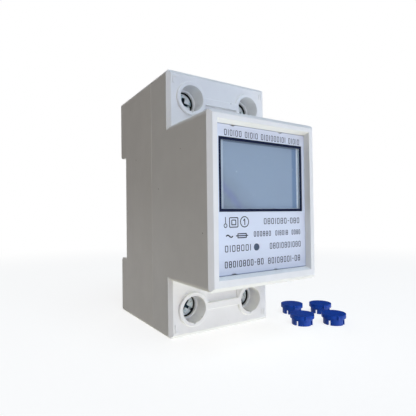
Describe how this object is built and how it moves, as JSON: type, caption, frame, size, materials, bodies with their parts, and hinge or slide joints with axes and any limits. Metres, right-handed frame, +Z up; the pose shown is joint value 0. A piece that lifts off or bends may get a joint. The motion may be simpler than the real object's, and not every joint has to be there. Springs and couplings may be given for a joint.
{
  "type": "smart electric meter",
  "caption": "Modular single-phase electricity meter for a DIN rail: display nose between terminal shoulders, working screw clamps, sprung rail clip and loose blue sealing plugs.",
  "frame": {"origin": "on the flat lower end of the housing, midway across its width and midway between the nose front and the rear feet", "axes": "+X to the right as the meter is read, +Y back towards the rail, +Z up; the face looks along -Y"},
  "size_m": [0.0604, 0.059, 0.076],
  "materials": {
    "rear_shell": "fine spark-eroded texture, warm white ABS",
    "front_shell": "fine satin, cool white ABS",
    "face_plate": "satin printed film, pale lavender",
    "display_frame": "satin dark navy",
    "display_window": "clear polycarbonate",
    "lcd_glass": "blue-grey polariser behind glass",
    "diffuser": "milky light guide",
    "tinned_metal": "tinned",
    "circuit_board": "solder mask over glass epoxy",
    "chip_plastic": "moulded epoxy",
    "pale_plastic": "nylon",
    "led_epoxy": "tinted epoxy",
    "light_pipe": "smoked acrylic",
    "capacitor_box": "polypropylene box",
    "capacitor_sleeve": "shrink sleeve over aluminium can",
    "varistor_epoxy": "dipped epoxy",
    "resistor_ceramic": "lacquered",
    "cable_plastic": "flexible PVC",
    "copper_bar": "rolled copper, light tarnish",
    "shunt_alloy": "manganin strip",
    "zinc_screw": "bright zinc plate",
    "zinc_clamp": "zinc-plated steel",
    "clip_plastic": "self-coloured nylon",
    "spring_steel": "drawn wire",
    "plug_plastic": "soft polyethylene, blue"
  },
  "bodies": {
    "case": {"rear_case": "rear_shell", "front_case": "front_shell", "face_plate": "face_plate", "display_frame": "display_frame", "display_window": "display_window", "lcd_glass": "lcd_glass", "lcd_backlight": "diffuser", "lcd_pins": "tinned_metal", "display_board": "circuit_board", "controller_chip": "chip_plastic", "impulse_led": "led_epoxy", "light_pipe": "light_pipe", "main_board": "circuit_board", "metering_chip": "chip_plastic", "optocoupler": "pale_plastic", "crystal": "tinned_metal", "mains_capacitor": "capacitor_box", "filter_capacitor": "capacitor_sleeve", "varistor": "varistor_epoxy", "dropper_resistors": "resistor_ceramic", "ribbon_cable": "cable_plastic", "ribbon_sockets": "pale_plastic", "line_bar_in": "copper_bar", "current_shunt": "shunt_alloy", "line_bar_out": "copper_bar", "neutral_bar": "copper_bar", "sense_leads": "cable_plastic", "case_screws": "zinc_screw", "clip_spring": "spring_steel"},
    "screw_line_in": {"screw_line_in": "zinc_screw"},
    "clamp_line_in": {"clamp_line_in": "zinc_clamp"},
    "screw_line_out": {"screw_line_out": "zinc_screw"},
    "clamp_line_out": {"clamp_line_out": "zinc_clamp"},
    "screw_neutral_in": {"screw_neutral_in": "zinc_screw"},
    "clamp_neutral_in": {"clamp_neutral_in": "zinc_clamp"},
    "screw_neutral_out": {"screw_neutral_out": "zinc_screw"},
    "clamp_neutral_out": {"clamp_neutral_out": "zinc_clamp"},
    "rail_clip": {"rail_clip": "clip_plastic"},
    "seal_plug_1": {"seal_plug_1": "plug_plastic"},
    "seal_plug_2": {"seal_plug_2": "plug_plastic"},
    "seal_plug_3": {"seal_plug_3": "plug_plastic"},
    "seal_plug_4": {"seal_plug_4": "plug_plastic"}
  },
  "joints": [
    {"name": "turn_line_in", "type": "hinge", "parent": "case", "child": "screw_line_in", "pos_m": [-0.01035, 0, 0.0076], "axis": [0, 1, 0], "range_deg": [0, 1980]},
    {"name": "grip_line_in", "type": "slide", "parent": "case", "child": "clamp_line_in", "axis": [0, -1, 0], "range_m": [0, 0.0044]},
    {"name": "turn_line_out", "type": "hinge", "parent": "case", "child": "screw_line_out", "pos_m": [-0.01035, 0, 0.0684], "axis": [0, 1, 0], "range_deg": [0, 1980]},
    {"name": "grip_line_out", "type": "slide", "parent": "case", "child": "clamp_line_out", "axis": [0, -1, 0], "range_m": [0, 0.0044]},
    {"name": "turn_neutral_in", "type": "hinge", "parent": "case", "child": "screw_neutral_in", "pos_m": [0.01035, 0, 0.0076], "axis": [0, 1, 0], "range_deg": [0, 1980]},
    {"name": "grip_neutral_in", "type": "slide", "parent": "case", "child": "clamp_neutral_in", "axis": [0, -1, 0], "range_m": [0, 0.0044]},
    {"name": "turn_neutral_out", "type": "hinge", "parent": "case", "child": "screw_neutral_out", "pos_m": [0.01035, 0, 0.0684], "axis": [0, 1, 0], "range_deg": [0, 1980]},
    {"name": "grip_neutral_out", "type": "slide", "parent": "case", "child": "clamp_neutral_out", "axis": [0, -1, 0], "range_m": [0, 0.0044]},
    {"name": "clip_release", "type": "slide", "parent": "case", "child": "rail_clip", "axis": [0, 0, -1], "range_m": [0, 0.0032], "stiffness_N_per_m": 900, "springref_m": -0.0012, "deforming": ["clip_spring"]},
    {"name": "lift_plug_1", "type": "slide", "parent": "case", "child": "seal_plug_1", "axis": [0, 0, 1], "range_m": [0, 0.03]},
    {"name": "lift_plug_2", "type": "slide", "parent": "case", "child": "seal_plug_2", "axis": [0, 0, 1], "range_m": [0, 0.03]},
    {"name": "lift_plug_3", "type": "slide", "parent": "case", "child": "seal_plug_3", "axis": [0, 0, 1], "range_m": [0, 0.03]},
    {"name": "lift_plug_4", "type": "slide", "parent": "case", "child": "seal_plug_4", "axis": [0, 0, 1], "range_m": [0, 0.03]}
  ],
  "couplings": [
    {"joint": "turn_line_in", "follows": "grip_line_in", "rad_per_m": 7854},
    {"joint": "turn_line_out", "follows": "grip_line_out", "rad_per_m": 7854},
    {"joint": "turn_neutral_in", "follows": "grip_neutral_in", "rad_per_m": 7854},
    {"joint": "turn_neutral_out", "follows": "grip_neutral_out", "rad_per_m": 7854}
  ]
}
